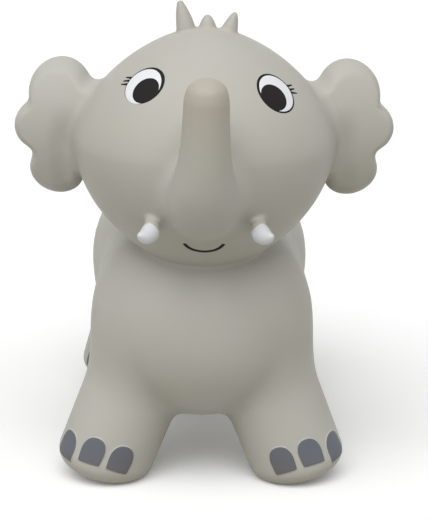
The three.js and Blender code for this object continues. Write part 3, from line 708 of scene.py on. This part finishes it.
skin_mesh = refine(*surface(skin_form, SKIN_BOX, SKIN_PITCH), skin_form, FINE_BOXES)


def is_ear(face, sign):
    centre = face.calc_center_median()
    return sign * centre.x > EAR_CUT and centre.z > HEAD_LEVEL


for sign in SIDES.values():
    head_faces = [f for f in skin_mesh.faces if f.calc_center_median().z > HEAD_LEVEL]
    geometry = head_faces + list({e for f in head_faces for e in f.edges})
    geometry += list({v for f in head_faces for v in f.verts})
    plane = Vector((sign * EAR_CUT, 0, 0))
    bmesh.ops.bisect_plane(skin_mesh, geom=geometry, plane_co=plane, plane_no=(sign, 0, 0), dist=0.2)


def part_of_skin(name, wanted):
    """The wanted faces of the skin as a piece of its own, with its cut edges closed."""
    part = skin_mesh.copy()
    dropped = [f for f in part.faces if not wanted(f)]
    bmesh.ops.delete(part, geom=dropped, context="FACES")
    bmesh.ops.holes_fill(part, edges=[e for e in part.edges if e.is_boundary], sides=0)
    mesh = bpy.data.meshes.new(name)
    part.to_mesh(mesh)
    part.free()
    points = np.array([v.co for v in mesh.vertices])
    piece = add_object(name, mesh, skin_material, normals_of(skin_form, points))
    return piece


body = part_of_skin("skin", lambda f: not any(is_ear(f, sign) for sign in SIDES.values()))
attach(body, "hopper")
legs = [f"{side}_{end}_leg" for side in SIDES for end in LEGS]
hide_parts("torso", "head", "trunk", "hair_tuft", "tail", *legs)
for side, sign in SIDES.items():
    name = f"{side}_ear"
    ear = part_of_skin(f"{name}_skin", lambda f, sign=sign: is_ear(f, sign))
    start = (sign * EAR_CUT * MM, 0, 0)
    end = (sign * EAR_BEND_END * MM, 0, 0)
    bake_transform(ear)
    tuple(start)
    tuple(end)
    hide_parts(name)


# Paint


def cast(points, direction, rounds=40, stride=0.8):
    """Points moved along a direction until they meet the skin."""
    p = np.array(points, float)
    for _ in range(rounds):
        p = p + direction * (stride * skin_form(p))[:, None]
    return p


def fan(centre, outline, rings=8, crowding=1.6):
    """Plan of a shape that its centre sees all of: points, faces and rim. The rings crowd towards the rim."""
    sides = len(outline)
    shares = 1 - (1 - np.arange(1, rings + 1) / rings) ** crowding
    points = [np.zeros((1, 2))] + [outline * share for share in shares]

    def at(ring, side):
        return 1 + ring * sides + side % sides

    faces = [(0, at(0, i), at(0, i + 1)) for i in range(sides)]
    for ring in range(rings - 1):
        faces += [(at(ring, i), at(ring + 1, i), at(ring + 1, i + 1), at(ring, i + 1)) for i in range(sides)]
    rim = [at(rings - 1, i) for i in range(sides)]
    return np.vstack(points) + centre, faces, rim


def oval(x, y, long, short, turn, rings=10, sides=64):
    """Plan of an ellipse: points, faces and rim."""
    angle = np.linspace(0, 2 * math.pi, sides, endpoint=False)
    c, s = math.cos(math.radians(turn)), math.sin(math.radians(turn))
    along = long * np.cos(angle)
    across = short * np.sin(angle)
    return fan((x, y), np.column_stack([along * c - across * s, along * s + across * c]), rings)


def stroke(line, width, steps):
    """Plan of a brush stroke along a line: points, faces and rim. width works on shares of its length."""
    path = np.array(smooth_stops(line, steps))
    along = np.gradient(path, axis=0)
    along /= np.linalg.norm(along, axis=1)[:, None]
    across = np.column_stack([-along[:, 1], along[:, 0]])
    half = width(np.linspace(0, 1, steps)) / 2
    rows = [path + across * (half * share)[:, None] for share in (-1, -0.5, 0, 0.5, 1)]

    def at(row, step):
        return row * steps + step

    faces = []
    for row in range(4):
        faces += [(at(row, i), at(row, i + 1), at(row + 1, i + 1), at(row + 1, i)) for i in range(steps - 1)]
    rim = [at(0, i) for i in range(steps)] + [at(row, steps - 1) for row in (1, 2, 3)]
    rim += [at(4, i) for i in reversed(range(steps))] + [at(row, 0) for row in (3, 2, 1)]
    return np.vstack(rows), faces, rim


def layer(name, node, plan, place, lift, material, sink=0.6, edge=0.3):
    """A plan laid on the skin as a thin closed layer. place gives points above the skin and the way down."""
    points, faces, rim = plan
    above, down = place(points)
    base = cast(above, down)
    out = normals_of(skin_form, base)
    height = np.full(len(base), lift)
    height[rim] = lift * edge
    top = base + out * height[:, None]
    bottom = base - out * sink
    count = len(base)
    walls = [(b, a, a + count, b + count) for a, b in zip(rim, rim[1:] + rim[:1])]
    under = [tuple(i + count for i in reversed(f)) for f in faces]
    piece = add_mesh(name, np.vstack([top, bottom]), faces + under + walls, material)
    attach(piece, "hopper")
    if node:
        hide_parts(node)


def paint_mark(node, plan, place, lift, shader):
    """A painted mark, in place of its solid."""
    layer(f"{node}_paint", node, plan, place, lift, shader.material)


def face_place(x, z):
    """Place on the face beside and above the head centre: x to the toy's left, y up the skin."""
    height, power = (CROWN_HEIGHT, CROWN_POWER) if z > 0 else (JAW_DEPTH, JAW_POWER)
    girth = (1 - (abs(z) / height) ** power) ** (1 / power)
    depth = HEAD_HALF_DEPTH * math.sqrt(girth**2 - (x / HEAD_HALF_WIDTH) ** 2)
    point = HEAD_CENTRE + [x, -depth, z]
    out = normals_of(head_form, point[None])[0]
    across = np.cross([0, 0, 1], out)
    across /= np.linalg.norm(across)
    upwards = np.cross(out, across)

    def place(points):
        return point + points[:, :1] * across + points[:, 1:] * upwards + out * FACE_CLEARANCE, -out

    return place


def clipped(plan, oval_size):
    """A plan with the points that leave an ellipse drawn back to its edge."""
    points, faces, rim = plan
    x, y, long, short, turn = oval_size
    c, s = math.cos(math.radians(turn)), math.sin(math.radians(turn))
    axes = np.array([[c / long, -s / short], [s / long, c / short]])
    local = (points - [x, y]) @ axes
    reach = np.maximum(np.linalg.norm(local, axis=1), 1)
    return (local / reach[:, None]) @ np.linalg.inv(axes) + [x, y], faces, rim


for side, eye in EYES.items():
    place = face_place(*eye["place"])
    paint_mark(f"{side}_eye_rim", oval(*eye["rim"]), place, EYE_RIM_LIFT, black)
    paint_mark(f"{side}_eye_white", oval(*eye["white"]), place, EYE_WHITE_LIFT, eye_white)
    paint_mark(f"{side}_pupil", clipped(oval(*eye["pupil"]), eye["rim"]), place, PUPIL_LIFT, black)
    for number, (start, end) in enumerate(eye["lashes"], 1):
        middle = (np.array(start) + end) / 2
        lash = stroke([start, middle, end], lambda t: LASH_WIDTH * (1 - LASH_TAPER * t), steps=8)
        paint_mark(f"{side}_lash_{number}", lash, place, LINE_LIFT, black)

mouth = stroke(MOUTH_LINE, lambda t: MOUTH_WIDTH - MOUTH_TAPER * np.abs(2 * t - 1), steps=40)
paint_mark("mouth", mouth, face_place(*MOUTH_PLACE), LINE_LIFT, black)


def nail_outline(count=64, steps=800):
    """Outline of a nail about its middle, found by steps outwards: flat below, arched above."""
    angle = np.linspace(0, 2 * math.pi, count, endpoint=False)
    direction = np.column_stack([np.cos(angle), np.sin(angle)])
    half = NAIL_WIDTH / 2
    middle = NAIL_MIDDLE * NAIL_HEIGHT
    reach = np.linspace(0, NAIL_SEARCH, steps)
    found = []
    for d in direction:
        x, y = np.abs(d[0]) * reach, d[1] * reach
        up = np.maximum(y, 0) / (NAIL_HEIGHT - middle)
        down = np.maximum(-y, 0) / middle
        side = half * (1 - NAIL_NARROWING * down)
        outside = (x / half) ** NAIL_ARCH_POWER + up**NAIL_ARCH_POWER > 1
        outside |= (x / side) ** NAIL_CORNER_POWER + down**NAIL_CORNER_POWER > 1
        found.append(d * reach[np.argmax(outside)])
    return np.array(found), middle


def foot_place(leg, angle, height, sign):
    """Place on a foot: x outwards along its round, y up it."""

    def place(points):
        around = math.radians(angle) + points[:, 0] / FOOT_RADIUS
        level = height + points[:, 1]
        above = leg.point(around, level, FOOT_RADIUS + FOOT_CLEARANCE)
        down = leg.point(around, level, 0) - above
        down /= np.linalg.norm(down, axis=1)[:, None]
        flip = np.array([sign, 1, 1])
        return above * flip, down * flip

    return place


outline, nail_middle = nail_outline()
for end, leg in LEGS.items():
    for side, sign in SIDES.items():
        for toe, (angle, height, rise) in NAILS.items():
            node = f"{side}_{end}_{toe}_nail"
            turn = angle if end == "front" else angle + REAR_NAIL_TURN
            place = foot_place(leg, turn, height + nail_middle, sign)
            shape = outline + outline[:, :1] * [0, math.tan(math.radians(rise))]
            shape = shape[::sign]  # the way round that looks anticlockwise from outside
            bed = fan((0, 0), shape * NAIL_BED_SIZE)
            layer(f"{node}_bed", None, bed, place, NAIL_BED_LIFT, skin_material, edge=-0.2)
            paint_mark(node, fan((0, 0), shape), place, NAIL_LIFT, slate)


def tusk_paint_form(p):
    """The outer part of a left tusk, a little proud of the skin."""
    offset = p - TUSK_PAINT_TOP
    point = np.hypot(offset[:, 0], TUSK_PAINT_ROUND) - TUSK_PAINT_ROUND
    cut = np.maximum(point - offset @ TUSK_PAINT_DOWN, p[:, 1] - TUSK_PAINT_BACK)
    return np.maximum(tusk_form(p) - TUSK_PAINT_PROUD, cut)


for side, sign in SIDES.items():
    points, faces = surface(tusk_paint_form, TUSK_PAINT_BOX, TUSK_PAINT_PITCH)
    out = normals_of(tusk_form, points)
    if sign < 0:
        points, out, faces = points * [-1, 1, 1], out * [-1, 1, 1], faces[:, ::-1]
    tusk = add_mesh(f"{side}_tusk_paint", points, faces, tusk_white.material, out)
    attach(tusk, "hopper")
    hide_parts(f"{side}_tusk")


# Valve


def softened(profile, radius, bulge=0.3):
    """A closed profile with each corner cut back to a small round, which bulges towards the old corner."""
    found = []
    corners = [Vector(c) for c in profile]
    for before, corner, after in zip(corners[-1:] + corners[:-1], corners, corners[1:] + corners[:1]):
        back = (before - corner).normalized() * radius
        ahead = (after - corner).normalized() * radius
        found += [corner + back, corner + (back + ahead) * bulge, corner + ahead]
    return found


def turned(name, profile, sides=64, sharp=40):
    """A ring turned about the valve's axis. Edges that bend by more than sharp degrees look sharp."""
    points = []
    for step in range(sides):
        angle = 2 * math.pi * step / sides
        for radius, height in profile:
            x = VALVE_AXIS[0] + radius * math.cos(angle)
            y = VALVE_AXIS[1] + radius * math.sin(angle)
            points.append((x, y, height))
    count = len(profile)
    faces = []
    for step in range(sides):
        here, there = step * count, (step + 1) % sides * count
        for i in range(count):
            j = (i + 1) % count
            faces.append((here + i, there + i, there + j, here + j))
    piece = add_mesh(name, points, faces, valve_plastic.material)
    piece.data.set_sharp_from_angle(angle=math.radians(sharp))
    return piece


bush = turned("valve_bush_ring", softened(BUSH_PROFILE, BUSH_ROUND))
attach(bush, "hopper")
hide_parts("valve_bush")
plug = turned("valve_plug_body", softened(PLUG_PROFILE, PLUG_ROUND))
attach(plug, "valve_plug")
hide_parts("valve_plug")


# Floor, light and camera

FLOOR_HALF = 12
FLOOR_DROP = 0.0003  # keeps the floor clear of the soles
FLOOR_BOUNCE = [0.52, 0.51, 0.46, 1]  # its colour for the light that it throws back
FLOOR_GLOW = 0.09  # light of its own where it is shown, so that it reaches white
WHITE = [1, 1, 1, 1]

floor_mesh = bpy.data.meshes.new("floor")
corners = [(x * FLOOR_HALF, y * FLOOR_HALF, -FLOOR_DROP) for x, y in ((-1, -1), (1, -1), (1, 1), (-1, 1))]
floor_mesh.from_pydata(corners, [], [(0, 1, 2, 3)])
floor = bpy.data.objects.new("floor", floor_mesh)
bpy.context.scene.collection.objects.link(floor)


def shown_share(tree):
    """1 for the rays that show the surroundings: the camera's and those of reflections and of glass."""
    path = tree.nodes.new("ShaderNodeLightPath")
    share = path.outputs["Is Camera Ray"]
    for ray in ("Is Glossy Ray", "Is Transmission Ray"):
        either = tree.nodes.new("ShaderNodeMath")
        either.operation = "MAXIMUM"
        tree.links.new(share, either.inputs[0])
        tree.links.new(path.outputs[ray], either.inputs[1])
        share = either.outputs[0]
    return share


def floor_shader():
    """White where it is shown, with the shadow kept; duller for the light that it throws back."""
    shader = Shader("white_floor")
    inputs = shader.surface.inputs
    inputs["Roughness"].default_value = 1
    inputs["Specular IOR Level"].default_value = 0
    inputs["Emission Color"].default_value = WHITE
    shown = shown_share(shader.tree)
    shader.link(shader.mix(shown, FLOOR_BOUNCE, WHITE), inputs["Base Color"])
    shader.link(shader.spread(shown, low=0, high=FLOOR_GLOW, start=0, end=1), inputs["Emission Strength"])
    return shader


floor_mesh.materials.append(floor_shader().material)

# The room: brightest overhead, and white where it is shown
SIDE_LIGHT = 0.16
TOP_LIGHT = 0.4

world = bpy.data.worlds.new("studio")
bpy.context.scene.world = world
world.use_nodes = True
tree = world.node_tree
background = tree.nodes["Background"]
background.inputs["Color"].default_value = WHITE
way = tree.nodes.new("ShaderNodeSeparateXYZ")
tree.links.new(tree.nodes.new("ShaderNodeTexCoord").outputs["Generated"], way.inputs["Vector"])
room = tree.nodes.new("ShaderNodeMapRange")
room.inputs["To Min"].default_value = SIDE_LIGHT
room.inputs["To Max"].default_value = TOP_LIGHT
tree.links.new(way.outputs["Z"], room.inputs["Value"])
strength = tree.nodes.new("ShaderNodeMapRange")
strength.inputs["To Max"].default_value = 1
tree.links.new(shown_share(tree), strength.inputs["Value"])
tree.links.new(room.outputs["Result"], strength.inputs["To Min"])
tree.links.new(strength.outputs["Result"], background.inputs["Strength"])


def add_sun(name, towards, strength, spread):
    """A wide soft lamp, given by the way to it and its width in degrees."""
    data = bpy.data.lights.new(name, "SUN")
    data.energy = strength
    data.angle = math.radians(spread)
    lamp = bpy.data.objects.new(name, data)
    lamp.rotation_mode = "QUATERNION"
    lamp.rotation_quaternion = Vector(towards).to_track_quat("Z", "Y")
    bpy.context.scene.collection.objects.link(lamp)


add_sun("key", (-0.1, -0.55, 0.82), strength=1.82, spread=50)
add_sun("left_fill", (0.66, -0.4, 0.62), strength=0.3, spread=60)
add_sun("right_fill", (-0.66, -0.4, 0.62), strength=0.5, spread=60)

# Camera, found from the photograph: degrees down, aside and rolled, then distance, focus and aim
CAMERA_DOWN = 16.5
CAMERA_ASIDE = -1.0
CAMERA_ROLL = 0.65
CAMERA_DISTANCE = 2.15
CAMERA_TARGET = Vector((0, -0.0069, 0.238))
FOCUS = 2030  # pixels
IMAGE_SIZE = (428, 520)
SIGHT_LINE = (202, 234)  # pixel that the target is seen at

down, aside, roll = (math.radians(a) for a in (CAMERA_DOWN, CAMERA_ASIDE, CAMERA_ROLL))
back = Vector((math.sin(aside) * math.cos(down), -math.cos(aside) * math.cos(down), math.sin(down)))
right = Vector((0, 0, 1)).cross(back).normalized()
up = back.cross(right)
right, up = right * math.cos(roll) + up * math.sin(roll), up * math.cos(roll) - right * math.sin(roll)
aim_right = (IMAGE_SIZE[0] / 2 - SIGHT_LINE[0]) / FOCUS
aim_down = (IMAGE_SIZE[1] / 2 - SIGHT_LINE[1]) / FOCUS
sight = (-back + right * aim_right - up * aim_down).normalized()
right = (right - sight * right.dot(sight)).normalized()
up = right.cross(sight)
place = CAMERA_TARGET + back * CAMERA_DISTANCE
camera_data = bpy.data.cameras.new("camera")
camera_data.sensor_width = 36
camera_data.lens = FOCUS * camera_data.sensor_width / max(IMAGE_SIZE)
camera = bpy.data.objects.new("camera", camera_data)
camera.matrix_world = Matrix.Translation(place) @ Matrix((right, up, -sight)).transposed().to_4x4()
bpy.context.scene.collection.objects.link(camera)
bpy.context.scene.camera = camera

bpy.context.scene.view_settings.view_transform = "Standard"
